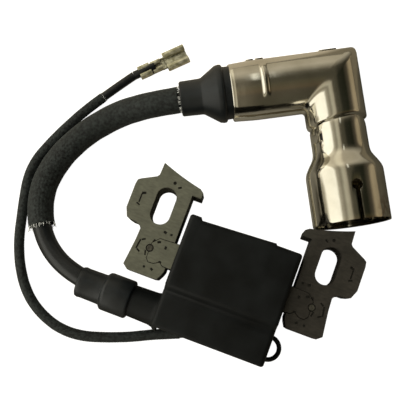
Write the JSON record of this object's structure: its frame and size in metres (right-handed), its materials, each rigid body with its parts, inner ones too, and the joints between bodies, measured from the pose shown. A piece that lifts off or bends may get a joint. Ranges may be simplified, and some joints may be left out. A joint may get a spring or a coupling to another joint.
{
  "type": "ignition coil",
  "caption": "Small engine ignition coil: potted coil on a laminated two-leg core, with a plug lead in a metal-shielded cap and a kill lead.",
  "frame": {"origin": "midway between the two mounting slots, on the seating face of the laminations", "axes": "+X along the line of the slots towards the right leg, +Y towards the flywheel, +Z the stack's normal, away from the engine"},
  "size_m": [0.1325, 0.1336, 0.0285],
  "materials": {
    "lamination_steel": "rolled silicon steel with a dark oxide coat",
    "stake_steel": "ground steel pins",
    "housing_plastic": "moulded black glass-filled nylon",
    "potting": "cast epoxy, glossy",
    "bobbin_plastic": "natural glass-filled nylon",
    "copper_wire": "enamelled copper",
    "board": "glass epoxy board with solder mask",
    "component_black": "moulded epoxy package",
    "component_film": "dipped film capacitor",
    "component_body": "lacquered resistor body",
    "lead_jacket": "smooth silicone-like jacket, slight gloss",
    "braid": "woven black sleeving",
    "boot_rubber": "moulded rubber, satin",
    "nickel_shell": "bright nickel-plated steel sheet",
    "brass": "tin-washed brass",
    "spring_steel": "drawn spring wire",
    "ceramic": "ceramic resistor rod"
  },
  "bodies": {
    "coil": {"left_pole_laminations": "lamination_steel", "right_pole_laminations": "lamination_steel", "centre_core_laminations": "lamination_steel", "core_lock_pins": "stake_steel", "coil_housing": "housing_plastic", "potting_resin": "potting", "primary_bobbin": "bobbin_plastic", "primary_winding": "copper_wire", "secondary_bobbin": "bobbin_plastic", "secondary_winding": "copper_wire", "ht_contact_pin": "brass", "trigger_circuit_board": "board", "control_chip": "component_black", "power_transistor": "component_black", "trigger_capacitor": "component_film", "trigger_resistors": "component_body", "earth_strip": "brass", "tower_boot": "boot_rubber", "ht_lead_jacket": "lead_jacket", "ht_lead_conductor": "copper_wire", "ht_lead_braided_sleeve": "braid", "kill_lead_insulation": "lead_jacket", "kill_lead_conductor": "copper_wire", "kill_lead_woven_sleeve": "braid", "kill_lead_spade_terminal": "brass"},
    "plug_cap": {"cap_elbow_boot": "boot_rubber", "cap_front_shell": "nickel_shell", "cap_rear_shell": "nickel_shell", "cable_screw": "brass", "suppressor_resistor": "ceramic", "resistor_spring": "spring_steel", "elbow_contact": "brass", "plug_terminal_clip": "brass"}
  },
  "joints": [
    {"name": "cap_swivel", "type": "hinge", "parent": "coil", "child": "plug_cap", "pos_m": [-0.03032, 0.04392, 0.005], "axis": [0.887, 0.4617, 0], "range_deg": [-90, 90]}
  ]
}
